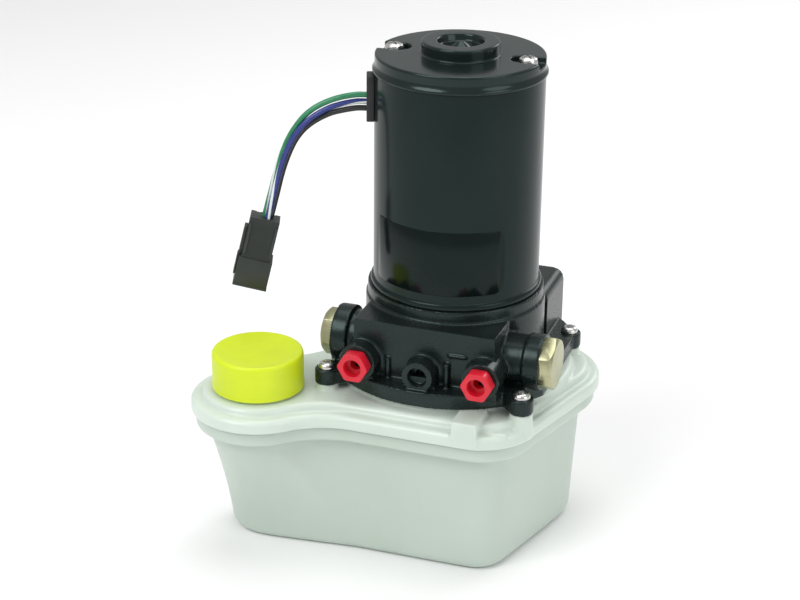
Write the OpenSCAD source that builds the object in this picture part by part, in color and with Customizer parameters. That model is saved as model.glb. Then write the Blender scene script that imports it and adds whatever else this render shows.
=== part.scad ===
// Hydraulic power unit: a reversible DC motor stands on a cast valve body, and drives a
// gear pump that hangs inside a moulded oil reservoir. Millimetres.
// Origin: the motor axis on the underside of the reservoir. +Z is up, -Y is the port side.

/* [Reservoir] */
// Height of the tub, from its underside to the top of its flange
tub_h = 66; // [62:1:80]
// Wall thickness of the tub and the lid
wall_t = 3; // [2.5:0.5:3.5]
// Outer diameter of the filler cap
cap_d = 42; // [41:0.5:44]
// Height of the filler cap
cap_h = 17; // [16:0.5:18]

/* [Valve body] */
// Height of the valve body, from the lid to the motor seat
body_h = 39; // [39:0.5:44]
// Radius of the base flange
flange_r = 58.4; // [57:0.2:59]
// Distance from the middle to each hose port
port_x = 28.8; // [28:0.2:29]
// Width across the flats of the red port plugs
port_plug_af = 12.7; // [12:0.1:13.5]
// Width across the flats of the brass end plugs
end_plug_af = 22.2; // [20:0.2:23]
// Width across the flats of the smaller brass plug, on the filler side
left_plug_af = 19; // [18:0.2:20]

/* [Motor] */
// Outer diameter of the motor can
can_d = 76.2; // [76:0.1:77]
// Length of the motor can
can_h = 100; // [100:1:110]
// Diameter of the armature shaft
shaft_d = 8; // [7.8:0.1:8]
// Diameter of the armature core
core_d = 54; // [50:1:54]

/* [Lead] */
// Outer diameter of each wire
wire_d = 2.6; // [2:0.1:2.6]

/* [Rendering] */
// Segments in a full turn of a large round
fine_fn = 96; // [48:24:144]

/* [Hidden] */
$fn = fine_fn;
eps = 0.1;

// Colours
milky = [0.86, 0.91, 0.87];
yellow = [0.87, 0.95, 0.2];
black_paint = [0.13, 0.15, 0.16];
red = [0.86, 0.14, 0.18];
brass = [0.72, 0.68, 0.48];
steel = [0.72, 0.73, 0.74];
rubber = [0.08, 0.08, 0.08];
copper = [0.72, 0.4, 0.2];

// Heights up the stack
rim_t = 7;
lip_t = 6.5;
lip_z = tub_h + lip_t;
deck_z = lip_z + 3.5;
seat_z = deck_z + 3;
body_under_z = seat_z - 7;
motor_z = seat_z + body_h;
can_top_z = motor_z + can_h;
cap_top_z = can_top_z + 8;
cross_z = seat_z + 16.5;
shoulder_z = motor_z - 5.5;

// Reservoir outline: corner circles as [x, y, radius, steps]; a concave corner has a negative
// radius. FLOOR holds the same corners where the drafted walls meet the floor.
filler = [-76, -56.5];
RIM = [
    [filler[0], filler[1], 31, 14], [-27, -105, -38, 5], [25.5, -41, 26, 7],
    [31, 12, 35.5, 9], [-28, 12, 35.5, 7], [-88, 8, -25, 5]
];
FLOOR = [
    [-74, -42, 21.5, 14], [-25, -119, -60, 5], [25.5, -43, 16, 7],
    [31, 9, 25, 9], [-28, 9, 25, 7], [-78, 6, -25, 5]
];
rim_inset = 2.2;
wall_inset = 8.5;
opening_r = 47;

// Filler neck
neck_r = 17.5;
neck_bore_r = 14.5;
neck_top_z = deck_z + 14;
cap_z = deck_z + 1;
gasket_t = 1.5;

// Mounting lugs
LUGS = [[46, -47], [-46, -47], [48, 29], [-48, 29]];
lug_t = 7;
lug_r = 5.5;

// Valve body
// Each end of the cross bore has its own face distance and rim radius, left then right
FACE_X = [47, 51];
RIM_R = [13.6, 12.7];
plug_pocket_x = 47;
plug_shank_x = 42;
rear_y = 50;
cross_y = -28;
port_face_y = -55;
centre_face_y = -56;
port_z = cross_z - 1.5;
centre_z = cross_z - 3.5;
rear_hole_x = 28;
REAR_HOLES_Z = [seat_z + 12, seat_z + 24];
rear_hole_r = 3.4;
spool_r = 6;
left_plug_turn = 20;
function end_of(side) = side < 0 ? 0 : 1;
check_r = 8;

// Gear pump
gear_module = 1.5;
gear_teeth = 12;
gear_gap = gear_module * gear_teeth;
pocket_r = 10.4;
housing_z = body_under_z - 12;
cover_z = housing_z - 8;
relief_xy = [0, -22];
PUMP_SCREWS = [[24, 24], [-24, 24], [24, -26], [-24, -26]];

// Motor
can_r = can_d / 2;
can_bore_r = can_r - 3;
shaft_r = shaft_d / 2;
run_gap = 0.05;
bolt_x = 31;
bolt_r = 2.4;
brush_z = can_top_z - 7.5;

// Lead: radial distance, sideways offset and height of each wire, in the plane of the lead
lead_angle = 200;
wire_start_r = 41.5;
GREEN = [
    [41.5, 0, 206.4], [46, 0, 206.4], [52, 0, 205.4], [58, -0.1, 203.5], [64, -0.2, 200.5],
    [69, -0.3, 196.5], [73, -0.4, 191.5], [76.3, -0.4, 186], [79, -0.4, 180],
    [81.2, -0.4, 173.8], [83, -0.4, 167.4], [84.4, -0.4, 161.6], [85.9, -0.4, 156],
    [87.8, -0.4, 148.52]
];
BLUE = [
    [41.5, 0, 203.3], [46, 0, 203.3], [51.8, 0.3, 202.3], [57.5, 0.8, 200.7], [63, 1.4, 198],
    [67.8, 1.9, 194.6], [71.7, 2.1, 190.3], [75, 2.1, 185.3], [77.6, 2.1, 179.5],
    [79.8, 2.1, 173.4], [81.6, 2.1, 167], [83, 2.1, 161.2], [84.5, 2.1, 155.6],
    [86.3, 2.1, 148.16]
];
BLACK = [
    [41.5, 0, 200.2], [46, 0, 200.2], [51.5, 0, 199.3], [57, -0.1, 197.9], [62, -0.2, 195.6],
    [66.6, -0.3, 192.6], [70.4, -0.4, 189], [73.6, -0.4, 184.4], [76.2, -0.4, 178.9],
    [78.4, -0.4, 172.9], [80.2, -0.4, 166.7], [81.6, -0.4, 160.9], [83, -0.4, 155.3],
    [84.9, -0.4, 147.82]
];
plug_top = [87.3, 0, 148.4];
plug_tilt = 13.6;

// ---- Shared shapes ----

// Direction of the outward normal of the straight line that joins two corner circles
function join_angle(p, q) =
    let (gap = norm([q[0] - p[0], q[1] - p[1]]), ratio = (p[2] - q[2]) / gap)
    atan2(q[1] - p[1], q[0] - p[0]) - acos(max(-1, min(1, ratio)));

function forward(a) = a - 360 * floor(a / 360);

// Closed outline through a ring of corner circles, moved inwards by inset
function outline(corners, inset) = [
    for (k = [0 : len(corners) - 1])
        let (
            c = corners[k],
            before = corners[(k + len(corners) - 1) % len(corners)],
            after = corners[(k + 1) % len(corners)],
            start = join_angle(before, c),
            swing = join_angle(c, after) - start,
            turn = c[2] > 0 ? forward(swing) : -forward(-swing)
        )
        for (i = [c[2] > 0 ? 0 : 1 : c[3]])
            let (a = start + turn * i / c[3])
            [c[0] + (c[2] - inset) * cos(a), c[1] + (c[2] - inset) * sin(a)]
];

// Solid through outlines of equal length, each given as [height, outline]. The first and last
// outlines are closed by fans around the hub, from which all of their points can be seen.
hub = [-40, -30];

module loft(levels) {
    n = len(levels[0][1]);
    m = len(levels);
    polyhedron(
        points = concat(
            [for (l = levels) for (p = l[1]) [p[0], p[1], l[0]]],
            [for (l = [levels[0], levels[m - 1]]) [hub[0], hub[1], l[0]]]
        ),
        faces = concat(
            [for (i = [0 : n - 1]) [n * m, i, (i + 1) % n]],
            [
                for (k = [0 : m - 2]) for (i = [0 : n - 1]) for (half = [0, 1])
                    let (a = k * n + i, b = k * n + (i + 1) % n)
                    half == 0 ? [a, a + n, b + n] : [a, b + n, b]
            ],
            [for (i = [0 : n - 1]) [n * m + 1, (m - 1) * n + (i + 1) % n, (m - 1) * n + i]]
        ),
        convexity = 8
    );
}

// Round bar swept along a path, with its rings square to the path
function unit(v) = v / norm(v);
function tangent(path, i) =
    unit(path[min(i + 1, len(path) - 1)] - path[max(i - 1, 0)]);

module swept_tube(path, r, sides, side_dir) {
    m = len(path);
    polyhedron(
        points = [
            for (i = [0 : m - 1])
                let (t = tangent(path, i), u = unit(cross(t, side_dir)), v = cross(u, t))
                for (k = [0 : sides - 1])
                    path[i] + r * (cos(360 * k / sides) * u + sin(360 * k / sides) * v)
        ],
        faces = concat(
            [[for (k = [0 : sides - 1]) k]],
            [
                for (i = [0 : m - 2]) for (k = [0 : sides - 1]) for (half = [0, 1])
                    let (a = i * sides + k, b = i * sides + (k + 1) % sides)
                    half == 0 ? [a, a + sides, b + sides] : [a, b + sides, b]
            ],
            [[for (k = [sides - 1 : -1 : 0]) (m - 1) * sides + k]]
        ),
        convexity = 8
    );
}

// Coil spring from z = 0 up
module coil_spring(h, r, wire_r, turns, per_turn = 12, sides = 5) {
    steps = turns * per_turn;
    path = [
        for (i = [0 : steps])
            let (a = 360 * i / per_turn)
            [r * cos(a), r * sin(a), wire_r + (h - 2 * wire_r) * i / steps]
    ];
    swept_tube(path, wire_r, sides, [0, 0, 1]);
}

module ring(r_out, r_in, z0, z1) {
    translate([0, 0, z0])
        difference() {
            cylinder(r = r_out, h = z1 - z0);
            translate([0, 0, -eps])
                cylinder(r = r_in, h = z1 - z0 + 2 * eps);
        }
}

module rod(r, z0, z1) {
    translate([0, 0, z0])
        cylinder(r = r, h = z1 - z0);
}

module oring(r, section_r) {
    rotate_extrude()
        translate([r, 0])
            circle(r = section_r, $fn = 24);
}

module hex_bar(af, z0, z1) {
    translate([0, 0, z0])
        cylinder(r = af / 2 / cos(30), h = z1 - z0, $fn = 6);
}

// Puts a shape drawn along +Z onto the port side, with +Z of the shape pointing to -Y
module at_port(x, y, z) {
    translate([x, y, z])
        rotate([90, 0, 0])
            children();
}

// Puts a shape drawn along +Z onto the cross bore, with +Z of the shape pointing to side * X
module at_cross(side, x = 0) {
    translate([side * x, cross_y, cross_z])
        rotate([0, side * 90, 0])
            children();
}

module at_lead() {
    rotate([0, 0, lead_angle])
        children();
}

module at_plug() {
    at_lead()
        translate(plug_top)
            rotate([0, -plug_tilt, 0])
                children();
}

module block(low, high) {
    translate(low)
        cube(high - low);
}

// ---- Reservoir ----

module slab(inset, z0, z1, corners = RIM) {
    translate([0, 0, z0])
        linear_extrude(z1 - z0)
            polygon(outline(corners, inset));
}

module reservoir_tub() {
    color(milky) {
        slab(4.5, 0, 2, FLOOR);
        loft([
            [1.2, outline(FLOOR, 3.2)], [4.5, outline(FLOOR, 0)],
            [tub_h - rim_t, outline(RIM, wall_inset)],
            [tub_h - rim_t, outline(RIM, rim_inset)], [tub_h, outline(RIM, rim_inset)],
            [tub_h, outline(RIM, wall_inset + wall_t)],
            [tub_h - rim_t, outline(RIM, wall_inset + wall_t)],
            [wall_t + 3, outline(FLOOR, wall_t)], [wall_t, outline(FLOOR, wall_t + 3)]
        ]);
    }
}

module reservoir_lid() {
    color(milky)
        difference() {
            union() {
                slab(0, tub_h, lip_z - 1.2);
                slab(1, lip_z - 1.2, lip_z);
                slab(5.8, lip_z, deck_z);
                intersection() {
                    rod(55, deck_z, seat_z);
                    block([-60, -60, deck_z], [60, 41, seat_z]);
                }
                for (p = LUGS)
                    translate([p[0], p[1], tub_h + 0.5])
                        cylinder(r = 5, h = seat_z - tub_h - 0.5);
                block([19.5, -67.2, tub_h + 0.5], [31.5, -50, seat_z]);
                translate([filler[0], filler[1], deck_z - wall_t])
                    cylinder(r = neck_r, h = neck_top_z - deck_z + wall_t);
            }
            difference() {
                slab(wall_inset + wall_t, tub_h - eps, deck_z - wall_t);
                for (p = LUGS)
                    translate([p[0], p[1], tub_h])
                        cylinder(r = 5, h = seat_z - tub_h);
            }
            rod(opening_r, tub_h, seat_z + eps);
            for (p = LUGS)
                translate([p[0], p[1], tub_h + 2])
                    cylinder(r = 2, h = seat_z - tub_h);
            translate([filler[0], filler[1], tub_h])
                cylinder(r = neck_bore_r, h = neck_top_z - tub_h + eps);
        }
}

module filler_cap() {
    color(yellow)
        translate([filler[0], filler[1], cap_z])
            difference() {
                union() {
                    cylinder(r = cap_d / 2, h = cap_h - 1.2);
                    translate([0, 0, cap_h - 1.2])
                        cylinder(r1 = cap_d / 2, r2 = cap_d / 2 - 1, h = 1.2);
                }
                translate([0, 0, -eps])
                    cylinder(r = neck_r + 0.6, h = neck_top_z + gasket_t - cap_z + eps);
                translate([0, 0, cap_h - 0.8])
                    cylinder(r1 = cap_d / 2 - 4, r2 = cap_d / 2 - 3, h = 1);
            }
}

module cap_gasket() {
    color(rubber)
        translate([filler[0], filler[1], 0])
            ring(neck_r, neck_bore_r, neck_top_z, neck_top_z + gasket_t);
}

module lid_seal() {
    color(rubber)
        translate([0, 0, seat_z - 3.4])
            oring(45.85, 1.1);
}

module mounting_screws() {
    color(steel)
        for (p = LUGS)
            translate([p[0], p[1], 0])
                difference() {
                    union() {
                        rod(2, tub_h + 4, seat_z + lug_t);
                        rod(3.6, seat_z + lug_t, seat_z + lug_t + 1.4);
                        translate([0, 0, seat_z + lug_t + 1.4])
                            cylinder(r1 = 3.6, r2 = 2.4, h = 1.2);
                    }
                    rod(1.6, seat_z + lug_t + 1.2, seat_z + lug_t + 3);
                }
}

// ---- Valve body ----

module body_flange() {
    arm = 14;
    arm_half_w = lug_r - 0.2;
    translate([0, 0, seat_z])
        linear_extrude(lug_t)
            union() {
                intersection() {
                    circle(r = flange_r);
                    translate([-FACE_X[1], -60])
                        square([2 * FACE_X[1], 106]);
                }
                for (p = LUGS) {
                    translate(p)
                        circle(r = lug_r);
                    rotate([0, 0, atan2(p[1], p[0])])
                        translate([norm(p) - arm, -arm_half_w])
                            square([arm, 2 * arm_half_w]);
                }
            }
}

module rear_slab() {
    top_z = motor_z - 9;
    round_r = 5;
    half_w = 39;
    block([-half_w, 20, seat_z + 2], [half_w, rear_y, top_z - round_r]);
    block([-half_w + round_r, 20, seat_z + 2], [half_w - round_r, rear_y, top_z]);
    for (side = [-1, 1])
        translate([side * (half_w - round_r), rear_y, top_z - round_r])
            rotate([90, 0, 0])
                cylinder(r = round_r, h = rear_y - 20);
}

module body_casting() {
    body_flange();
    rod(opening_r - 0.3, body_under_z, seat_z + 1);
    rod(41.5, seat_z + 0.5, shoulder_z);
    rod(40.6, shoulder_z - 1, motor_z);
    rod(can_bore_r - 0.2, motor_z - 1, motor_z + 2);
    block([-33, -47, seat_z + 1.5], [33, 2, shoulder_z - 0.4]);
    at_cross(-1, -46)
        cylinder(r = 11.5, h = 92);
    for (side = [-1, 1]) {
        face_x = FACE_X[end_of(side)];
        foot_x = side * (face_x - 6);
        at_port(side * port_x, -20, port_z)
            cylinder(r = 8.6, h = -port_face_y - 20);
        at_cross(side, face_x - 7.5)
            cylinder(r = RIM_R[end_of(side)], h = 7.5);
        block([foot_x - 4, -31, seat_z + 2.5], [foot_x + 4, -15, cross_z - 1]);
    }
    at_port(0, -20, centre_z)
        cylinder(r = 7.2, h = -centre_face_y - 20);
    rear_slab();
}

module body_bores() {
    // Motor hub, coupling, seal and shaft bores
    rod(12.1, motor_z - 6, motor_z + 3);
    rod(9.5, motor_z - 19, motor_z);
    rod(9, motor_z - 27, motor_z - 18);
    rod(shaft_r + run_gap, body_under_z - 1, motor_z - 20);
    // Groove for the seal under the motor can
    ring(can_bore_r + 1, can_bore_r - 1.9, motor_z + 0.3, motor_z + 1.9);
    // Groove for the seal in the lid
    ring(opening_r + 1, 44.7, seat_z - 4.5, seat_z - 2.3);
    for (side = [-1, 1]) {
        // Cross bore, check valve chambers and the counterbores of the end plugs
        at_cross(side, -eps)
            cylinder(r = spool_r, h = 21);
        at_cross(side, 20)
            cylinder(r = check_r, h = FACE_X[end_of(side)] - 20 + eps);
        at_cross(side, FACE_X[end_of(side)] - 1.9)
            cylinder(r = 9.8, h = 2);
        // Hose ports and the passages behind them
        at_port(side * port_x, -43, port_z)
            cylinder(r = 5.6, h = -port_face_y - 43 + eps);
        at_port(side * port_x, cross_y, port_z)
            cylinder(r = 3, h = 16);
        // Galleries up from the gear pump
        translate([side * 14, -26, body_under_z - eps])
            cylinder(r = 2.5, h = cross_z - body_under_z);
        // Through bolts of the motor
        translate([side * bolt_x, 0, motor_z - 12])
            cylinder(r = bolt_r, h = 15);
        // Tapped holes of the rear pad
        for (z = REAR_HOLES_Z)
            translate([side * rear_hole_x, rear_y + eps, z])
                rotate([90, 0, 0])
                    cylinder(r = rear_hole_r, h = 12);
    }
    // Manual release valve
    at_port(0, -46, centre_z)
        cylinder(r = 4.35, h = -centre_face_y - 46 + eps);
    at_port(0, cross_y, centre_z)
        cylinder(r = 2.5, h = 19);
    for (p = LUGS)
        translate([p[0], p[1], seat_z - eps])
            cylinder(r = 2.3, h = lug_t + 1);
    for (p = PUMP_SCREWS)
        translate([p[0], p[1], body_under_z - eps])
            cylinder(r = 2.5, h = 10);
    translate([0, gear_gap, body_under_z - eps])
        cylinder(r = 3.5, h = 8);
}

module pump_body() {
    color(black_paint)
        difference() {
            body_casting();
            body_bores();
        }
}

// Shipping plug that closes a hose port
module port_plug(side) {
    color(red)
        at_port(side * port_x, port_face_y, port_z)
            difference() {
                union() {
                    intersection() {
                        hex_bar(port_plug_af, 0, 6);
                        rod(port_plug_af / 2 + 0.65, 0, 6);
                    }
                    rod(5.5, -11, 0);
                }
                rod(4.1, 1, 6 + eps);
                rod(2.6, -8, 6);
            }
}

module left_port_plug() {
    port_plug(-1);
}

module right_port_plug() {
    port_plug(1);
}

module release_screw() {
    color(steel)
        at_port(0, -46, centre_z)
            difference() {
                union() {
                    rod(4.27, 0, 4.5);
                    rod(2.42, -9, 0);
                    translate([0, 0, -10.5])
                        cylinder(r1 = 1, r2 = 2.42, h = 1.5);
                }
                hex_bar(4, 1.5, 5);
                ring(3, 1.6, -5.45, -4.55);
            }
}

module release_oring() {
    color(rubber)
        at_port(0, -41, centre_z)
            oring(2.05, 0.38);
}

// Hexagon plug that closes one end of the cross bore
module end_plug(side, af, turn) {
    face_x = FACE_X[end_of(side)];
    color(brass)
        at_cross(side, face_x)
            difference() {
                union() {
                    rotate([0, 0, turn])
                        intersection() {
                            hex_bar(af, 0, 6);
                            union() {
                                rod(af / 2 + 1.5, 0, 4.8);
                                translate([0, 0, 4.8])
                                    cylinder(r1 = af / 2 + 1.5, r2 = af / 2 - 0.3, h = 1.2);
                            }
                        }
                    rod(check_r, plug_shank_x - face_x, 0);
                }
                rod(5, plug_shank_x - face_x - eps, plug_pocket_x - face_x);
            }
}

module left_end_plug() {
    end_plug(-1, left_plug_af, left_plug_turn);
}

module right_end_plug() {
    end_plug(1, end_plug_af, 0);
}

module end_plug_orings() {
    color(rubber)
        for (side = [-1, 1])
            at_cross(side, FACE_X[end_of(side)] - 0.95)
                oring(8.9, 0.85);
}

module check_seats() {
    color(steel)
        for (side = [-1, 1])
            at_cross(side)
                ring(check_r, 3.2, 21, 25);
}

// Poppet with a cone that closes on its seat
module check_poppet(side) {
    color(brass)
        at_cross(side, 0) {
            translate([0, 0, 24.2])
                cylinder(r1 = 2.3, r2 = 5, h = 2.7);
            rod(5, 26.9, 30);
            rod(2.3, 22.2, 24.3);
            rod(3, 29.9, 34);
        }
}

module left_check_poppet() {
    check_poppet(-1);
}

module right_check_poppet() {
    check_poppet(1);
}

module check_spring(side) {
    color(steel)
        at_cross(side, 30.1)
            coil_spring(16.7, 4, 0.45, 5);
}

module left_check_spring() {
    check_spring(-1);
}

module right_check_spring() {
    check_spring(1);
}

module pilot_spool() {
    color(steel)
        at_cross(1)
            difference() {
                union() {
                    rod(spool_r - 0.03, -12, 12);
                    rod(1.6, -18.5, 18.5);
                }
                for (z = [-8, 0, 8])
                    ring(spool_r + 1, spool_r - 0.8, z - 0.5, z + 0.5);
            }
}

// ---- Gear pump ----

// Tooth flank: a point of the involute of the base circle, at radius r
function involute(base_r, r) =
    let (a = acos(base_r / r))
    tan(a) * 180 / PI - a;

module spur_gear(thickness, bore_r, phase) {
    pitch_r = gear_module * gear_teeth / 2;
    base_r = pitch_r * cos(20);
    tip_r = pitch_r + 0.8 * gear_module;
    root_r = pitch_r - 1.1 * gear_module;
    backlash = 1.6;
    half = 90 / gear_teeth - backlash + involute(base_r, pitch_r);
    flank = [for (k = [0 : 4]) let (r = base_r + (tip_r - base_r) * k / 4) [r, half - involute(base_r, r)]];
    tooth = concat(
        [[root_r, half + 1]], flank,
        [for (k = [4 : -1 : 0]) [flank[k][0], -flank[k][1]]], [[root_r, -half - 1]]
    );
    points = [
        for (t = [0 : gear_teeth - 1]) for (k = [len(tooth) - 1 : -1 : 0])
            let (a = phase + t * 360 / gear_teeth + tooth[k][1])
            tooth[k][0] * [cos(a), sin(a)]
    ];
    difference() {
        linear_extrude(thickness)
            polygon(points);
        translate([0, 0, -eps])
            cylinder(r = bore_r, h = thickness + 2 * eps);
    }
}

module drive_gear() {
    color(steel)
        translate([0, 0, housing_z + run_gap])
            spur_gear(12 - 2 * run_gap, shaft_r, 0);
}

module idler_gear() {
    color(steel)
        translate([0, gear_gap, housing_z + run_gap])
            spur_gear(12 - 2 * run_gap, 3.5 + run_gap, 15);
}

module idler_pin() {
    color(steel)
        translate([0, gear_gap, 0])
            rod(3.5, cover_z + 2, body_under_z + 7);
}

module gear_housing() {
    color([0.6, 0.61, 0.62])
        difference() {
            translate([-30, -32, housing_z])
                cube([60, 62, body_under_z - housing_z]);
            rod(pocket_r, housing_z - 1, body_under_z + 1);
            translate([0, gear_gap, 0])
                rod(pocket_r, housing_z - 1, body_under_z + 1);
            translate([relief_xy[0], relief_xy[1], 0]) {
                rod(4.1, housing_z - 1, housing_z + 8);
                rod(2.2, housing_z, body_under_z + 1);
            }
            for (side = [-1, 1])
                block([side * 13 - 2.5, -28, body_under_z - 2.5], [side * 13 + 2.5, 12, body_under_z + 1]);
            for (side = [-1, 1])
                block([side * 8.5 - 6, 6, body_under_z - 2.5], [side * 8.5 + 6, 12, body_under_z + 1]);
            for (p = PUMP_SCREWS)
                translate([p[0], p[1], 0])
                    rod(2.7, housing_z - 1, body_under_z + 1);
        }
}

module pump_cover() {
    color([0.6, 0.61, 0.62])
        difference() {
            translate([-30, -32, cover_z])
                cube([60, 62, housing_z - cover_z]);
            rod(shaft_r + run_gap, cover_z + 1.5, housing_z + 1);
            translate([0, gear_gap, 0])
                rod(3.5, cover_z + 2, housing_z + 1);
            translate([relief_xy[0], relief_xy[1], 0])
                rod(4.1, cover_z - 1, housing_z + 1);
            translate([-14, 9, 0])
                rod(5, cover_z - 1, cover_z + 5);
            block([-14, 6, cover_z + 4], [-6, 12, housing_z + 1]);
            for (p = PUMP_SCREWS)
                translate([p[0], p[1], 0])
                    rod(2.7, cover_z - 1, housing_z + 1);
        }
}

module drive_shaft() {
    color(steel)
        rod(shaft_r, cover_z + 2, motor_z - 14);
}

module drive_coupling() {
    color(steel)
        ring(8.5, shaft_r, motor_z - 18, motor_z - 9);
}

module shaft_seal() {
    color(rubber)
        ring(9, shaft_r + run_gap, motor_z - 26, motor_z - 20);
}

module pump_screws() {
    color(steel)
        for (p = PUMP_SCREWS)
            translate([p[0], p[1], 0])
                difference() {
                    union() {
                        rod(2.5, cover_z, body_under_z + 8);
                        rod(4.25, cover_z - 5, cover_z);
                    }
                    hex_bar(4, cover_z - 6, cover_z - 2);
                }
}

module relief_ball() {
    color(steel)
        translate([relief_xy[0], relief_xy[1], housing_z + 8 - sqrt(3.5 * 3.5 - 2.2 * 2.2) - 0.02])
            sphere(r = 3.5, $fn = 32);
}

module relief_spring() {
    color(steel)
        translate([relief_xy[0], relief_xy[1], cover_z + 5])
            coil_spring(4.6, 3, 0.4, 3);
}

module relief_adjuster() {
    color(brass)
        translate([relief_xy[0], relief_xy[1], 0])
            difference() {
                rod(4.1, cover_z - 1, cover_z + 5);
                block([-5, -0.6, cover_z - 2], [5, 0.6, cover_z + 0.5]);
            }
}

module suction_tube() {
    color(steel)
        translate([-14, 9, 0])
            ring(5, 3.8, 22, cover_z + 4);
}

module suction_strainer() {
    color([0.8, 0.8, 0.75])
        translate([-14, 9, 0])
            difference() {
                rod(13, 8, 24);
                rod(11.5, 9.5, 22);
                rod(5, 20, 25);
                for (a = [0 : 30 : 330])
                    rotate([0, 0, a])
                        block([9, -1.6, 11], [14, 1.6, 20]);
            }
}

// ---- Motor ----

module motor_can() {
    color(black_paint)
        difference() {
            union() {
                rod(can_r, motor_z, can_top_z);
                rod(can_r + 1.2, motor_z, motor_z + 3);
            }
            rod(can_bore_r, motor_z - 1, can_top_z + 1);
            at_lead()
                block([can_bore_r - 3, -3, 197.5], [can_r + 3, 3, 209]);
        }
}

module motor_end_cap() {
    boss_z = cap_top_z + 5.7;
    notch_x = 28.8;
    notch_r = 5.6;
    color(black_paint)
        difference() {
            union() {
                rod(can_r, can_top_z, cap_top_z);
                rod(can_r + 1, can_top_z, can_top_z + 1.6);
                ring(can_bore_r - 0.1, 32, can_top_z - 4, can_top_z + 1);
                rod(17.6, cap_top_z - 1, boss_z);
            }
            rod(32, can_top_z - 5, can_top_z + 2.5);
            rod(9, can_top_z, can_top_z + 7.5);
            difference() {
                rod(10.5, boss_z - 3.5, boss_z + 1);
                translate([0, 0, boss_z - 4])
                    cylinder(r1 = 5.5, r2 = 1, h = 3.5);
            }
            for (side = [-1, 1]) {
                translate([side * bolt_x, 0, can_top_z - 5])
                    cylinder(r = bolt_r + 0.1, h = 14);
                translate([side * notch_x, 0, cap_top_z - 3])
                    cylinder(r = notch_r, h = 4);
                block([side * (notch_x + 6) - 6, -notch_r, cap_top_z - 3],
                    [side * (notch_x + 6) + 6, notch_r, cap_top_z + 1]);
            }
        }
}

module drive_end_plate() {
    color(steel)
        difference() {
            union() {
                rod(can_bore_r - 0.2, motor_z + 2, motor_z + 7);
                rod(12, motor_z - 5, motor_z + 3);
            }
            rod(11, motor_z, motor_z + 8);
            rod(6, motor_z - 6, motor_z + 1);
            for (side = [-1, 1])
                translate([side * bolt_x, 0, motor_z + 1])
                    cylinder(r = bolt_r + 0.1, h = 8);
        }
}

module motor_seal() {
    color(rubber)
        translate([0, 0, motor_z + 1.1])
            oring(can_bore_r - 1.1, 0.78);
}

module field_magnets() {
    color([0.25, 0.25, 0.27])
        for (a = [25, 205])
            translate([0, 0, motor_z + 14])
                rotate([0, 0, a])
                    rotate_extrude(angle = 130)
                        translate([core_d / 2 + 2, 0])
                            square([can_bore_r - core_d / 2 - 2, 66]);
}

core_z0 = motor_z + 22;
core_z1 = motor_z + 72;

module armature_core() {
    color([0.5, 0.5, 0.52])
        difference() {
            ring(core_d / 2, shaft_r, core_z0, core_z1);
            for (a = [0 : 30 : 330])
                rotate([0, 0, a]) {
                    block([core_d / 2 - 9, -2.5, core_z0 - 1], [core_d / 2 - 1.5, 2.5, core_z1 + 1]);
                    block([core_d / 2 - 5, -1, core_z0 - 1], [core_d / 2 + 1, 1, core_z1 + 1]);
                }
        }
}

module armature_windings() {
    color(copper) {
        for (z = [core_z1, core_z0 - 10])
            translate([0, 0, z])
                rotate_extrude()
                    polygon([[7, 0], [24, 0], [24, 7], [21, 10], [12, 10], [7, 6]]);
        for (a = [0 : 30 : 330])
            rotate([0, 0, a])
                block([core_d / 2 - 8.9, -2.4, core_z0 - 1], [core_d / 2 - 1.7, 2.4, core_z1 + 1]);
    }
}

module commutator() {
    color(copper)
        difference() {
            ring(12.5, shaft_r, brush_z - 6, brush_z + 5.5);
            for (a = [0 : 30 : 330])
                rotate([0, 0, a + 15])
                    block([10.5, -0.4, brush_z - 7], [14, 0.4, brush_z + 6]);
        }
}

module armature_shaft() {
    color(steel)
        rod(shaft_r, motor_z - 14, can_top_z + 7.2);
}

module upper_bearing() {
    color(brass)
        ring(9, shaft_r + run_gap, can_top_z + 2.6, can_top_z + 7);
}

module lower_bearing() {
    color(steel)
        ring(11, shaft_r + run_gap, motor_z, motor_z + 7);
}

module brush_plate() {
    color([0.45, 0.3, 0.15])
        difference() {
            ring(can_bore_r - 0.2, 14, brush_z - 9, brush_z - 6.5);
            for (side = [-1, 1])
                translate([side * bolt_x, 0, brush_z - 10])
                    cylinder(r = 3.2, h = 5);
            at_lead()
                block([can_bore_r - 3, -3, brush_z - 10], [can_bore_r + 3, 3, brush_z]);
        }
}

module brush_holders() {
    color(brass)
        for (side = [-1, 1])
            difference() {
                block([-4.2, side * 22.75 - 8.25, brush_z - 6.5], [4.2, side * 22.75 + 8.25, brush_z + 3.5]);
                block([-3.2, side * 21.75 - 8.25, brush_z - 4.2], [3.2, side * 21.75 + 8.25, brush_z + 2.2]);
            }
}

// Carbon brush with its face curved to the commutator
module carbon_brush(side) {
    color([0.2, 0.2, 0.21])
        difference() {
            block([-3, side * 18 - 6, brush_z - 4], [3, side * 18 + 6, brush_z + 2]);
            rod(12.6, brush_z - 5, brush_z + 3);
        }
}

module front_brush() {
    carbon_brush(-1);
}

module rear_brush() {
    carbon_brush(1);
}

module brush_spring(side) {
    color(steel)
        translate([0, side * 24.05, brush_z - 1])
            rotate([-side * 90, 0, 0])
                coil_spring(5.9, 2.2, 0.3, 4);
}

module front_brush_spring() {
    brush_spring(-1);
}

module rear_brush_spring() {
    brush_spring(1);
}

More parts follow.
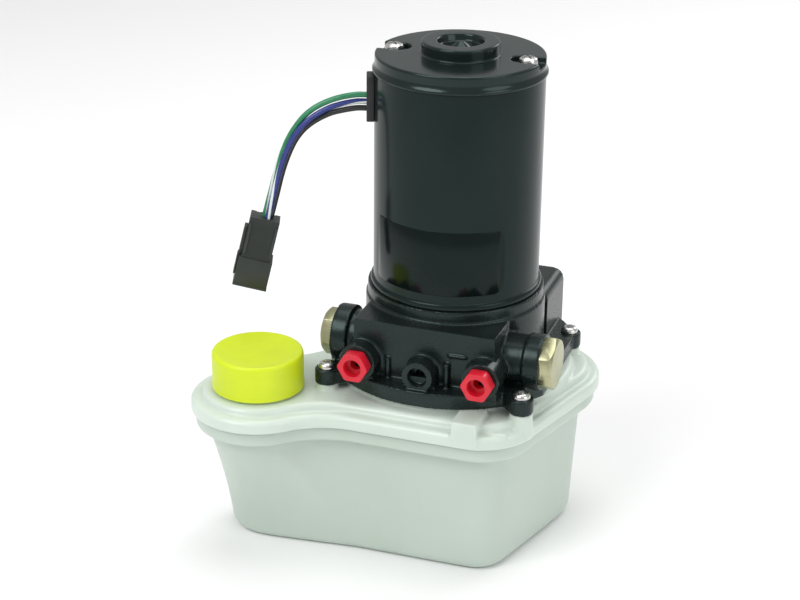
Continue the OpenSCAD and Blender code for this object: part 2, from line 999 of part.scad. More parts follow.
module through_bolts() {
    color(steel)
        for (side = [-1, 1])
            translate([side * bolt_x, 0, 0])
                difference() {
                    union() {
                        rod(bolt_r, motor_z - 10, cap_top_z - 3);
                        rod(4, cap_top_z - 3, cap_top_z + 0.2);
                        translate([0, 0, cap_top_z + 0.2])
                            cylinder(r1 = 4, r2 = 2.8, h = 1);
                    }
                    block([-3.2, -0.5, cap_top_z], [3.2, 0.5, cap_top_z + 2]);
                    block([-0.5, -3.2, cap_top_z], [0.5, 3.2, cap_top_z + 2]);
                }
}

module cable_grommet() {
    color(rubber)
        at_lead() {
            difference() {
                block([can_r - 3, -4.5, 195], [wire_start_r, 4.5, 216]);
                rotate([0, 0, -lead_angle])
                    rod(can_r + 0.02, 190, 220);
            }
            block([can_bore_r, -2.9, 197.6], [can_r + 0.8, 2.9, 208.9]);
        }
}

module nameplate() {
    color([0.09, 0.1, 0.11])
        translate([0, 0, motor_z + 7])
            rotate([0, 0, 217])
                rotate_extrude(angle = 104)
                    translate([can_r, 0])
                        square([0.3, 30]);
}

// ---- Lead ----

module lead_wire(path, shade) {
    color(shade)
        at_lead()
            swept_tube(path, wire_d / 2, 8, [0, 1, 0]);
}

module green_wire() {
    lead_wire(GREEN, [0.15, 0.55, 0.3]);
}

module blue_wire() {
    lead_wire(BLUE, [0.14, 0.2, 0.55]);
}

module black_wire() {
    lead_wire(BLACK, [0.1, 0.1, 0.1]);
}

module connector_housing() {
    color(rubber)
        at_plug()
            difference() {
                union() {
                    block([-6.8, -4.5, -21], [6.8, 4.5, 0]);
                    block([-7.8, -5.5, -34.4], [7.8, 5.5, -20]);
                }
                block([-6.3, -4, -35], [6.3, 4, -22]);
            }
}

module connector_latch() {
    color([0.13, 0.14, 0.14])
        at_plug() {
            block([6.8, -2.6, -19.8], [8.4, 2.6, -6]);
            block([7.81, -2.6, -30], [8.8, 2.6, -19.9]);
        }
}

module terminals() {
    color(brass)
        at_plug()
            for (x = [-3.6, 0, 3.6])
                translate([x, 0, -29])
                    cylinder(r = 0.8, h = 7, $fn = 24);
}

reservoir_tub();
reservoir_lid();
filler_cap();
cap_gasket();
lid_seal();
mounting_screws();
pump_body();
left_port_plug();
right_port_plug();
release_screw();
release_oring();
left_end_plug();
right_end_plug();
end_plug_orings();
check_seats();
left_check_poppet();
right_check_poppet();
left_check_spring();
right_check_spring();
pilot_spool();
gear_housing();
pump_cover();
drive_gear();
idler_gear();
idler_pin();
drive_shaft();
drive_coupling();
shaft_seal();
pump_screws();
relief_ball();
relief_spring();
relief_adjuster();
suction_tube();
suction_strainer();
motor_can();
motor_end_cap();
drive_end_plate();
motor_seal();
field_magnets();
armature_core();
armature_windings();
commutator();
armature_shaft();
upper_bearing();
lower_bearing();
brush_plate();
brush_holders();
front_brush();
rear_brush();
front_brush_spring();
rear_brush_spring();
through_bolts();
cable_grommet();
nameplate();
green_wire();
blue_wire();
black_wire();
connector_housing();
connector_latch();
terminals();
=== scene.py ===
import bpy
import bmesh
import math
from mathutils import Matrix, Vector


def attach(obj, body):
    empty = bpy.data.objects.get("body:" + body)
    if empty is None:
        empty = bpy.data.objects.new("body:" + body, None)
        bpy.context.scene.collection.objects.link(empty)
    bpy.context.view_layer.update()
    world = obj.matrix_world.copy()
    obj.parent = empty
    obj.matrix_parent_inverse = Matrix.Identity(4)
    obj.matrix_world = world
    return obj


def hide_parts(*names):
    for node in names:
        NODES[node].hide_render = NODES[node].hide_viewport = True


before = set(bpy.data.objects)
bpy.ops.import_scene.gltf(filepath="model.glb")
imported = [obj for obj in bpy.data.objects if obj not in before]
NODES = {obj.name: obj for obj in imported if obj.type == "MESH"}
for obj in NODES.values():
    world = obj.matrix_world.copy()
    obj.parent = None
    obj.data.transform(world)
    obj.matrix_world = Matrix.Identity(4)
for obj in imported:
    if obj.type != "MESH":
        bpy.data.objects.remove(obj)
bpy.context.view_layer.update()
ROOT = "power_unit"


MM = 0.001  # every length below is in millimetres


# ---------------------------------------------------------------- camera
CAMERA_AT = (247.5, -804.7, 472.9)
CAMERA_ANGLES = (23.521, -0.848, 0.545)  # down, to the side and about the line of sight
UNIT_TURN = 18  # degrees the unit's front stands away from the photo's viewpoint
LENS = 88.83


def make_camera():
    """The photo's viewpoint, worked out from the round edges of the can, the flange and the cap."""
    pitch, yaw, roll = (math.radians(a) for a in CAMERA_ANGLES)
    fw = Vector((math.sin(yaw) * math.cos(pitch), math.cos(yaw) * math.cos(pitch), -math.sin(pitch)))
    right = fw.cross(Vector((0, 0, 1))).normalized()
    up = right.cross(fw)
    c, s = math.cos(roll), math.sin(roll)
    right, up = c * right + s * up, -s * right + c * up
    spin = Matrix.Rotation(math.radians(UNIT_TURN), 3, "Z")
    right, up, fw = spin @ right, spin @ up, spin @ fw
    cam = bpy.data.objects.new("camera", bpy.data.cameras.new("camera"))
    bpy.context.scene.collection.objects.link(cam)
    m = Matrix((right, up, -fw)).transposed().to_4x4()
    m.translation = Vector(CAMERA_AT) * MM
    cam.matrix_world = m
    cam.data.sensor_width = 36
    cam.data.lens = LENS
    cam.data.clip_start = 0.05
    bpy.context.scene.camera = cam


make_camera()


# ---------------------------------------------------------------- materials
def material(name, base, other=None, rough=0.4, rough_span=0.08, metal=0.0, patch=40.0, grain=900.0,
             bump=0.15, depth=0.00006, coat=0.0, subsurface=0.0, brushed=None, speck=None, edge_highlight=None,
             spec=0.5, tint=(1, 1, 1)):
    """Procedural surface: slow colour patches, fine grain in the bump and the roughness, specks, and a painted
    highlight on sharp edges.
    """
    m = bpy.data.materials.new(name)
    m.use_nodes = True
    n, link = m.node_tree.nodes, m.node_tree.links
    bsdf = n["Principled BSDF"]
    bsdf.inputs["Metallic"].default_value = metal
    bsdf.inputs["Specular IOR Level"].default_value = spec
    bsdf.inputs["Specular Tint"].default_value = (*tint, 1)
    bsdf.inputs["Coat Weight"].default_value = coat
    bsdf.inputs["Coat Roughness"].default_value = 0.25
    if subsurface:
        bsdf.inputs["Subsurface Weight"].default_value = subsurface
        bsdf.inputs["Subsurface Radius"].default_value = (1.0, 1.1, 1.0)
        bsdf.inputs["Subsurface Scale"].default_value = 0.006
    place = n.new("ShaderNodeTexCoord")
    coords = place.outputs["Object"]
    if brushed:
        stretch = n.new("ShaderNodeMapping")
        stretch.inputs["Scale"].default_value = brushed
        link.new(coords, stretch.inputs["Vector"])
        coords = stretch.outputs["Vector"]
    slow = n.new("ShaderNodeTexNoise")
    slow.inputs["Scale"].default_value = patch
    slow.inputs["Detail"].default_value = 4
    link.new(place.outputs["Object"], slow.inputs["Vector"])
    ramp = n.new("ShaderNodeValToRGB")
    ramp.color_ramp.elements[0].position = 0.3
    ramp.color_ramp.elements[1].position = 0.7
    ramp.color_ramp.elements[0].color = (*base, 1)
    ramp.color_ramp.elements[1].color = (*(other or [min(1, c * 1.12) for c in base]), 1)
    link.new(slow.outputs["Fac"], ramp.inputs["Fac"])
    colour = ramp.outputs["Color"]
    fine = n.new("ShaderNodeTexNoise")
    fine.inputs["Scale"].default_value = grain
    fine.inputs["Detail"].default_value = 3
    link.new(coords, fine.inputs["Vector"])
    if speck:
        dots = n.new("ShaderNodeValToRGB")
        dots.color_ramp.elements[0].position = 0.62
        dots.color_ramp.elements[1].position = 0.74
        dots.color_ramp.elements[0].color = (0, 0, 0, 1)
        dots.color_ramp.elements[1].color = (0.5, 0.5, 0.5, 1)
        link.new(fine.outputs["Fac"], dots.inputs["Fac"])
        mix = n.new("ShaderNodeMixRGB")
        mix.inputs["Color2"].default_value = (*speck, 1)
        link.new(dots.outputs["Color"], mix.inputs["Fac"])
        link.new(colour, mix.inputs["Color1"])
        colour = mix.outputs["Color"]
    # painted highlight: a lighter colour mixed onto sharp convex edges, in place of the glints of light along
    # them
    if edge_highlight:
        shape = n.new("ShaderNodeNewGeometry")
        edge = n.new("ShaderNodeValToRGB")
        edge.color_ramp.elements[0].position = 0.53
        edge.color_ramp.elements[1].position = 0.62
        edge.color_ramp.elements[0].color = (0, 0, 0, 1)
        edge.color_ramp.elements[1].color = (0.75, 0.75, 0.75, 1)
        link.new(shape.outputs["Pointiness"], edge.inputs["Fac"])
        mix = n.new("ShaderNodeMixRGB")
        mix.inputs["Color2"].default_value = (*edge_highlight, 1)
        link.new(edge.outputs["Color"], mix.inputs["Fac"])
        link.new(colour, mix.inputs["Color1"])
        colour = mix.outputs["Color"]
    link.new(colour, bsdf.inputs["Base Color"])
    sheen = n.new("ShaderNodeMapRange")
    sheen.inputs["To Min"].default_value = max(0.03, rough - rough_span)
    sheen.inputs["To Max"].default_value = min(1, rough + rough_span)
    link.new(fine.outputs["Fac"], sheen.inputs["Value"])
    link.new(sheen.outputs["Result"], bsdf.inputs["Roughness"])
    raised = n.new("ShaderNodeBump")
    raised.inputs["Strength"].default_value = bump
    raised.inputs["Distance"].default_value = depth
    link.new(fine.outputs["Fac"], raised.inputs["Height"])
    link.new(raised.outputs["Normal"], bsdf.inputs["Normal"])
    return m


# The lighter edge colours given to the black casting, end cap and connector are painted highlights along their
# sharp edges.
MAT = {
    "lid": material("milky_lid", (0.60, 0.69, 0.615), (0.66, 0.745, 0.675), 0.30, 0.06, patch=22, grain=260,
                    bump=0.10, depth=0.0002, coat=0.12, subsurface=0.35),
    "tub": material("milky_tub", (0.50, 0.585, 0.515), (0.55, 0.63, 0.565), 0.40, 0.07, patch=16, grain=320,
                    bump=0.14, depth=0.0002, subsurface=0.3),
    "yellow": material("yellow_cap", (0.62, 0.76, 0.008), (0.69, 0.83, 0.012), 0.38, 0.06, patch=60, grain=1400,
                       bump=0.12, subsurface=0.12),
    "casting": material("black_casting", (0.006, 0.010, 0.0095), (0.011, 0.016, 0.015), 0.26, 0.09, patch=70,
                        grain=620, bump=0.5, depth=0.0001, edge_highlight=(0.028, 0.036, 0.034), spec=0.36,
                        tint=(0.75, 1, 0.95)),
    "can": material("black_can", (0.005, 0.010, 0.0095), (0.008, 0.014, 0.013), 0.2, 0.03, patch=30, grain=1500,
                    bump=0.06, spec=0.24, tint=(0.75, 1, 0.96)),
    "endcap": material("black_endcap", (0.007, 0.012, 0.011), (0.011, 0.017, 0.016), 0.17, 0.05, patch=50,
                       grain=900, bump=0.12, edge_highlight=(0.028, 0.036, 0.034), spec=0.36, tint=(0.75, 1, 0.95)),
    "plate": material("nameplate_film", (0.003, 0.006, 0.0055), (0.005, 0.008, 0.0075), 0.16, 0.03, patch=80,
                      grain=2200, bump=0.05, spec=0.2, tint=(0.75, 1, 0.95)),
    "red": material("red_plastic", (0.62, 0.008, 0.025), (0.70, 0.012, 0.035), 0.33, 0.06, patch=90, grain=1500,
                    bump=0.15, subsurface=0.1),
    "brass": material("machined_brass", (0.40, 0.40, 0.235), (0.48, 0.475, 0.30), 0.30, 0.10, 1.0, patch=120,
                      grain=500, bump=0.25, brushed=(0.3, 3, 3), speck=(0.36, 0.31, 0.16)),
    "zinc": material("bright_zinc", (0.62, 0.62, 0.61), (0.74, 0.74, 0.72), 0.26, 0.08, 1.0, patch=260,
                     grain=1800, bump=0.2, speck=(0.4, 0.41, 0.4)),
    "rubber": material("black_rubber", (0.010, 0.012, 0.011), (0.018, 0.02, 0.019), 0.55, 0.08, patch=120,
                       grain=1600, bump=0.35),
    "nylon": material("connector_nylon", (0.012, 0.017, 0.014), (0.019, 0.025, 0.021), 0.40, 0.07, patch=150,
                      grain=1300, bump=0.3, edge_highlight=(0.05, 0.06, 0.052)),
    "green": material("green_sheath", (0.018, 0.20, 0.085), (0.03, 0.25, 0.11), 0.34, 0.05, patch=300,
                      grain=2500, bump=0.1, coat=0.2),
    "blue": material("blue_sheath", (0.018, 0.030, 0.19), (0.026, 0.042, 0.24), 0.33, 0.05, patch=300,
                     grain=2500, bump=0.1, coat=0.2),
    "black": material("black_sheath", (0.012, 0.013, 0.014), (0.02, 0.02, 0.022), 0.36, 0.05, patch=300,
                      grain=2500, bump=0.1, coat=0.2),
    "stripe": material("white_stripe", (0.68, 0.74, 0.72), (0.78, 0.82, 0.8), 0.36, 0.05, patch=300, grain=2500,
                       bump=0.1),
    "steel": material("ground_steel", (0.50, 0.51, 0.52), (0.62, 0.63, 0.64), 0.22, 0.08, 1.0, patch=150,
                      grain=900, bump=0.2, brushed=(1, 1, 5)),
    "spring": material("spring_steel", (0.36, 0.37, 0.38), (0.5, 0.5, 0.5), 0.3, 0.08, 1.0, patch=400,
                       grain=2000, bump=0.1),
    "cast": material("cast_aluminium", (0.40, 0.41, 0.41), (0.5, 0.5, 0.5), 0.5, 0.1, 0.9, patch=90, grain=800,
                     bump=0.5, speck=(0.3, 0.3, 0.3)),
    "mesh": material("strainer_plastic", (0.55, 0.55, 0.48), (0.62, 0.62, 0.55), 0.5, 0.1, patch=90, grain=900,
                     bump=0.3),
    "ferrite": material("magnet_ferrite", (0.025, 0.025, 0.028), (0.05, 0.05, 0.05), 0.6, 0.1, patch=90,
                        grain=700, bump=0.4, speck=(0.12, 0.12, 0.12)),
    "core": material("laminated_core", (0.20, 0.20, 0.21), (0.28, 0.28, 0.28), 0.4, 0.1, 0.9, patch=90,
                     grain=300, bump=0.6, brushed=(0.2, 0.2, 9)),
    "copper": material("copper", (0.62, 0.26, 0.12), (0.74, 0.34, 0.17), 0.32, 0.1, 1.0, patch=200, grain=1200,
                       bump=0.25, brushed=(1, 1, 4)),
    "laminate": material("brown_laminate", (0.13, 0.06, 0.022), (0.18, 0.09, 0.035), 0.5, 0.08, patch=120,
                         grain=1000, bump=0.3, speck=(0.25, 0.14, 0.06)),
    "carbon": material("carbon", (0.02, 0.02, 0.021), (0.035, 0.035, 0.035), 0.45, 0.1, patch=200, grain=1800,
                       bump=0.4, speck=(0.09, 0.09, 0.09)),
}

CAD_LOOKS = {
    "rubber": "cap_gasket lid_seal release_oring end_plug_orings shaft_seal motor_seal",
    "zinc": "pump_screws drive_end_plate suction_tube",
    "spring": "left_check_spring right_check_spring relief_spring front_brush_spring rear_brush_spring",
    "steel": "check_seats pilot_spool drive_gear idler_gear idler_pin drive_shaft drive_coupling relief_ball "
             "armature_shaft lower_bearing",
    "brass": "left_check_poppet right_check_poppet relief_adjuster upper_bearing brush_holders terminals",
    "cast": "gear_housing pump_cover",
    "mesh": "suction_strainer",
    "ferrite": "field_magnets",
    "core": "armature_core",
    "copper": "armature_windings commutator",
    "laminate": "brush_plate",
    "carbon": "front_brush rear_brush",
}


# ---------------------------------------------------------------- mesh helpers
def new_object(name, verts, faces, *mats):
    me = bpy.data.meshes.new(name)
    me.from_pydata([Vector(v) * MM for v in verts], [], faces)
    for m in mats:
        me.materials.append(MAT[m])
    o = bpy.data.objects.new(name, me)
    bpy.context.scene.collection.objects.link(o)
    bm = bmesh.new()
    bm.from_mesh(me)
    bmesh.ops.recalc_face_normals(bm, faces=bm.faces)
    bm.to_mesh(me)
    bm.free()
    return o


def smooth(o, angle):
    """Smooth faces, with every edge sharper than the angle left crisp."""
    for p in o.data.polygons:
        p.use_smooth = True
    bm = bmesh.new()
    bm.from_mesh(o.data)
    limit = math.radians(angle)
    for e in bm.edges:
        e.smooth = len(e.link_faces) != 2 or e.calc_face_angle(0) < limit
    bm.to_mesh(o.data)
    bm.free()


def lathe(name, profile, mat, segs, at=(0, 0, 0)):
    """Closed profile of (r, z) points turned about Z. Points on the axis become one vertex."""
    verts, rings = [], []
    for r, z in profile:
        if r < 1e-6:
            rings.append([len(verts)] * segs)
            verts.append((0, 0, z))
        else:
            rings.append([len(verts) + k for k in range(segs)])
            verts += [(r * math.cos(2 * math.pi * k / segs), r * math.sin(2 * math.pi * k / segs), z)
                      for k in range(segs)]
    faces = []
    for a, b in zip(rings, rings[1:] + rings[:1]):
        for k in range(segs):
            q = [a[k], a[(k + 1) % segs], b[(k + 1) % segs], b[k]]
            f = list(dict.fromkeys(q))
            if len(f) > 2:
                faces.append(f)
    m = Matrix.Translation(at)
    return new_object(name, [m @ Vector(v) for v in verts], faces, mat)


def box(name, lo, hi, mat, m=None):
    """Box from its lowest to its highest corner, then placed by m."""
    verts = [(x, y, z) for z in (lo[2], hi[2]) for y in (lo[1], hi[1]) for x in (lo[0], hi[0])]
    faces = [(0, 2, 3, 1), (4, 5, 7, 6), (0, 1, 5, 4), (2, 6, 7, 3), (0, 4, 6, 2), (1, 3, 7, 5)]
    if m:
        verts = [m @ Vector(v) for v in verts]
    return new_object(name, verts, faces, mat)


def run(o, kind, **settings):
    """Adds one modifier and applies it."""
    mod = o.modifiers.new(kind, kind)
    for k, v in settings.items():
        setattr(mod, k, v)
    bpy.context.view_layer.objects.active = o
    bpy.ops.object.select_all(action="DESELECT")
    o.select_set(True)
    bpy.ops.object.modifier_apply(modifier=mod.name)
    return o


def cut(o, *tools, op="DIFFERENCE"):
    """Takes the tools out of o, or adds them with op, and removes them."""
    for t in tools:
        run(o, "BOOLEAN", operation=op, solver="MANIFOLD", object=t)
        bpy.data.objects.remove(t)
    return o


def join(o, *others):
    bpy.ops.object.select_all(action="DESELECT")
    for x in (o,) + others:
        x.select_set(True)
    bpy.context.view_layer.objects.active = o
    bpy.ops.object.join()
    return o


def soften(o, voxel, rounds):
    """Blends the joined solids into one skin with small fillets, as on a moulding or a casting."""
    run(o, "REMESH", mode="VOXEL", voxel_size=voxel * MM)
    run(o, "SMOOTH", factor=0.5, iterations=rounds)


def edge_bevel(o, width, segments, angle=35):
    run(o, "BEVEL", width=width * MM, segments=segments, limit_method="ANGLE",
        angle_limit=math.radians(angle), use_clamp_overlap=True)
    smooth(o, 40)
    return o


def from_node(name, node, mat):
    """Copy of a CAD solid, with its flat faces merged so that bevels run clean."""
    o = bpy.data.objects.new(name, NODES[node].data.copy())
    bpy.context.scene.collection.objects.link(o)
    o.data.materials.clear()
    o.data.materials.append(MAT[mat])
    bm = bmesh.new()
    bm.from_mesh(o.data)
    bmesh.ops.remove_doubles(bm, verts=bm.verts, dist=1e-6)
    bmesh.ops.dissolve_limit(bm, angle_limit=math.radians(0.6), verts=bm.verts, edges=bm.edges)
    bm.to_mesh(o.data)
    bm.free()
    return o


def piece(o, body, slot, *nodes):
    """Hands o over as a visible piece of a body, in place of the named CAD nodes."""
    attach(o, body)
    if nodes:
        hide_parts(*nodes)
    return o


# ---------------------------------------------------------------- lead
LEAD = Matrix.Rotation(math.radians(200), 4, "Z")
GREEN = [
    (41.5, 0, 206.4), (46, 0, 206.4), (52, 0, 205.4), (58, -0.1, 203.5), (64, -0.2, 200.5),
    (69, -0.3, 196.5), (73, -0.4, 191.5), (76.3, -0.4, 186), (79, -0.4, 180), (81.2, -0.4, 173.8),
    (83, -0.4, 167.4), (84.4, -0.4, 161.6), (85.9, -0.4, 156), (87.8, -0.4, 148.52),
]
BLUE = [
    (41.5, 0, 203.3), (46, 0, 203.3), (51.8, 0.3, 202.3), (57.5, 0.8, 200.7), (63, 1.4, 198),
    (67.8, 1.9, 194.6), (71.7, 2.1, 190.3), (75, 2.1, 185.3), (77.6, 2.1, 179.5), (79.8, 2.1, 173.4),
    (81.6, 2.1, 167), (83, 2.1, 161.2), (84.5, 2.1, 155.6), (86.3, 2.1, 148.16),
]
BLACK = [
    (41.5, 0, 200.2), (46, 0, 200.2), (51.5, 0, 199.3), (57, -0.1, 197.9), (62, -0.2, 195.6),
    (66.6, -0.3, 192.6), (70.4, -0.4, 189), (73.6, -0.4, 184.4), (76.2, -0.4, 178.9), (78.4, -0.4, 172.9),
    (80.2, -0.4, 166.7), (81.6, -0.4, 160.9), (83, -0.4, 155.3), (84.9, -0.4, 147.82),
]
WIRE_R = 1.3
WIRE_SIDES = 20
STRIPE_SIDES = 3
STRIPE_LENGTH = 86  # run over which stripe turns are counted


def curve_through(points, steps=5):
    """Catmull-Rom line through the route's points."""
    p = [Vector(q) for q in points]
    p = [2 * p[0] - p[1]] + p + [2 * p[-1] - p[-2]]
    out = []
    for i in range(1, len(p) - 2):
        for k in range(steps):
            t = k / steps
            a, b, c, d = p[i - 1:i + 3]
            out.append(0.5 * (2 * b + (c - a) * t + (2 * a - 5 * b + 4 * c - d) * t * t
                              + (3 * b - a - 3 * c + d) * t ** 3))
    out.append(p[-2])
    return out


def wire(name, route, mat, node, stripe_turns, stripe_start):
    """Round wire along its route, with a stripe winding about it where stripe_turns is a number."""
    line = [LEAD @ q for q in curve_through(route)]
    side = LEAD @ Vector((0, 1, 0))
    verts, faces, kinds = [], [], []
    run_len = 0.0
    for i, p in enumerate(line):
        if i:
            run_len += (p - line[i - 1]).length
        t = (line[min(i + 1, len(line) - 1)] - line[max(i - 1, 0)]).normalized()
        u = t.cross(side).normalized()
        v = u.cross(t)
        spin = stripe_start + (stripe_turns or 0) * 2 * math.pi * run_len / STRIPE_LENGTH
        for k in range(WIRE_SIDES):
            a = 2 * math.pi * k / WIRE_SIDES + spin
            verts.append(p + WIRE_R * (math.cos(a) * u + math.sin(a) * v))
    for i in range(len(line) - 1):
        for k in range(WIRE_SIDES):
            a, b = i * WIRE_SIDES + k, i * WIRE_SIDES + (k + 1) % WIRE_SIDES
            faces.append((a, b, b + WIRE_SIDES, a + WIRE_SIDES))
            kinds.append(1 if stripe_turns is not None and k < STRIPE_SIDES else 0)
    faces += [tuple(range(WIRE_SIDES))[::-1],
              tuple((len(line) - 1) * WIRE_SIDES + k for k in range(WIRE_SIDES))]
    kinds += [0, 0]
    o = new_object(name, verts, faces, mat, "stripe")
    for f, kind in zip(o.data.polygons, kinds):
        f.material_index = kind
    smooth(o, 50)
    piece(o, ROOT, "wire_" + mat, node)
    return o, [tuple(q * MM) for q in line]


plug_frame = LEAD @ Matrix.Translation((87.3, 0, 148.4)) @ Matrix.Rotation(math.radians(-13.6), 4, "Y")


def connector():
    """Housing with a stepped lower shell, three slots in its top, side ribs and a lip round the mouth."""
    up = box("connector_shell", (-6.8, -4.5, -21), (6.8, 4.5, 0), "nylon", plug_frame)
    low = box("low", (-7.8, -5.5, -34.4), (7.8, 5.5, -20), "nylon", plug_frame)
    cut(up, low, op="UNION")
    cut(up, box("mouth", (-6.3, -4, -36), (6.3, 4, -22), "nylon", plug_frame))
    for x in (-3.4, 0, 3.4):
        cut(up, box("slot", (x - 0.9, -5, -2.6), (x + 0.9, -3.9, 1), "nylon", plug_frame))
    edge_bevel(up, 0.45, 3)
    ribs = [
        box("rib", (-6.4, 4.3, -18), (-5.4, 5.1, -3), "nylon", plug_frame),
        box("rib", (5.4, 4.3, -18), (6.4, 5.1, -3), "nylon", plug_frame),
        box("lip", (-7.95, -5.65, -34.2), (7.95, 5.65, -33.2), "nylon", plug_frame),
    ]
    cut(ribs[2], box("inner", (-6.3, -4, -36), (6.3, 4, -30), "nylon", plug_frame))
    for r in ribs:
        edge_bevel(r, 0.15, 2)
    join(up, *ribs)
    smooth(up, 40)
    return piece(up, ROOT, "connector_nylon", "connector_housing")


def latch():
    rail = box("latch_rail", (6.8, -2.6, -19.8), (8.4, 2.6, -6), "nylon", plug_frame)
    cut(rail, box("dip", (7.6, -1.4, -18), (9, 1.4, -10), "nylon", plug_frame))
    edge_bevel(rail, 0.3, 3)
    tab = box("tab", (7.81, -2.6, -30), (8.8, 2.6, -19.9), "nylon", plug_frame)
    edge_bevel(tab, 0.3, 3)
    return piece(join(rail, tab), ROOT, "connector_nylon", "connector_latch")


plug = connector()
clip = latch()
for wire_name, route, colour, node, turns, start in (
    ("wire_green", GREEN, "green", "green_wire", 0.9, 2.6),
    ("wire_blue", BLUE, "blue", "blue_wire", 1.15, 1.2),
    ("wire_black", BLACK, "black", "black_wire", None, 0.0),
):
    tube, path = wire(wire_name, route, colour, node, turns, start)


# ---------------------------------------------------------------- reservoir
FILLER = (-76, -56.5)
LUGS = ((46, -47), (-46, -47), (48, 29), (-48, 29))
RIM = [(-76, -56.5, 31), (-27, -105, -38), (25.5, -41, 26), (31, 12, 35.5), (-28, 12, 35.5), (-88, 8, -25)]
FLOOR = [(-74, -42, 21.5), (-25, -119, -60), (25.5, -43, 16), (31, 9, 25), (-28, 9, 25), (-78, 6, -25)]
FAN_CENTRE = (-40, -30)  # inside every outline
ARC_STEPS = (34, 14, 22, 26, 20, 14)
RUN_STEPS = 8


def outline(corners, inset):
    """Closed line through tangent corner circles, with matching point counts for every outline."""
    n = len(corners)

    def normal(p, q):
        ratio = (p[2] - q[2]) / math.dist(p[:2], q[:2])
        return math.atan2(q[1] - p[1], q[0] - p[0]) - math.acos(max(-1, min(1, ratio)))

    arcs = []
    for k, c in enumerate(corners):
        a = normal(corners[k - 1], c)
        swing = normal(c, corners[(k + 1) % n]) - a
        swing = swing % (2 * math.pi) if c[2] > 0 else -((-swing) % (2 * math.pi))
        arcs.append([(c[0] + (c[2] - inset) * math.cos(a + swing * i / ARC_STEPS[k]),
                      c[1] + (c[2] - inset) * math.sin(a + swing * i / ARC_STEPS[k]))
                     for i in range(ARC_STEPS[k] + 1)])
    out = []
    for k, arc in enumerate(arcs):
        out += arc
        a, b = arc[-1], arcs[(k + 1) % n][0]
        out += [(a[0] + (b[0] - a[0]) * i / RUN_STEPS, a[1] + (b[1] - a[1]) * i / RUN_STEPS)
                for i in range(1, RUN_STEPS)]
    return out


def eased(ring, rounds=14):
    """Softens the joins between arcs and straight runs, where the wall would show a crease."""
    n = len(ring)
    for _ in range(rounds):
        ring = [tuple(0.5 * ring[i][k] + 0.25 * (ring[i - 1][k] + ring[(i + 1) % n][k]) for k in (0, 1))
                for i in range(n)]
    return ring


def mixed(t, inset_floor, inset_rim):
    """Outline a share t of the way from the floor's to the rim's."""
    return eased([((1 - t) * a[0] + t * b[0], (1 - t) * a[1] + t * b[1])
                  for a, b in zip(outline(FLOOR, inset_floor), outline(RIM, inset_rim))])


def shell(name, levels, mat):
    """Skin through outlines with equal counts, each (z, outline), closed at both ends by fans."""
    n = len(levels[0][1])
    verts = [(p[0], p[1], z) for z, ring in levels for p in ring]
    faces = []
    for k in range(len(levels) - 1):
        for i in range(n):
            a, b = k * n + i, k * n + (i + 1) % n
            faces.append((a, b, b + n, a + n))
    for z, base in ((levels[0][0], 0), (levels[-1][0], (len(levels) - 1) * n)):
        hub = len(verts)
        verts.append((*FAN_CENTRE, z))
        faces += [(hub, base + i, base + (i + 1) % n) for i in range(n)]
    o = new_object(name, verts, faces, mat)
    bm = bmesh.new()
    bm.from_mesh(o.data)
    bmesh.ops.remove_doubles(bm, verts=bm.verts, dist=2e-5)
    bmesh.ops.recalc_face_normals(bm, faces=bm.faces)
    bm.to_mesh(o.data)
    bm.free()
    return o


def quarter(z0, z1, d0, d1, steps, late):
    """Rounded corner from (z0, d0) to (z1, d1): late leaves along Z, otherwise it arrives along Z."""
    out = []
    for i in range(steps + 1):
        a = math.pi / 2 * i / steps
        f, g = (math.sin(a), 1 - math.cos(a)) if late else (1 - math.cos(a), math.sin(a))
        out.append((z0 + (z1 - z0) * f, d0 + (d1 - d0) * g))
    return out


def tub():
    foot, wall_top, inset, wall_steps = 5.5, 52, 8.5, 10
    levels = [(z, eased(outline(FLOOR, d))) for z, d in quarter(0, foot, 5, 0, 7, False)]
    for i in range(1, wall_steps + 1):
        t = i / wall_steps
        levels.append((foot + (wall_top - foot) * t, mixed(t, 0, inset)))
    levels += [(z, eased(outline(RIM, d)))
               for z, d in [(57.4, inset)] + quarter(57.4, 59, inset, 6.6, 4, True)]
    levels += [(z, outline(RIM, d)) for z, d in quarter(59, 60.4, 3.5, 2.2, 4, False)]
    levels += [(z, outline(RIM, d)) for z, d in [(64.6, 2.2)] + quarter(64.6, 65.8, 2.2, 3.2, 4, True)]
    levels += [(z, outline(RIM, d)) for z, d in [(65.8, 11.5), (59, 11.5)]]
    levels += [(6, outline(FLOOR, 3)), (3, outline(FLOOR, 6))]
    o = shell("tub_moulding", levels, "tub")
    smooth(o, 50)
    return piece(o, ROOT, "milky_plastic", "reservoir_tub")


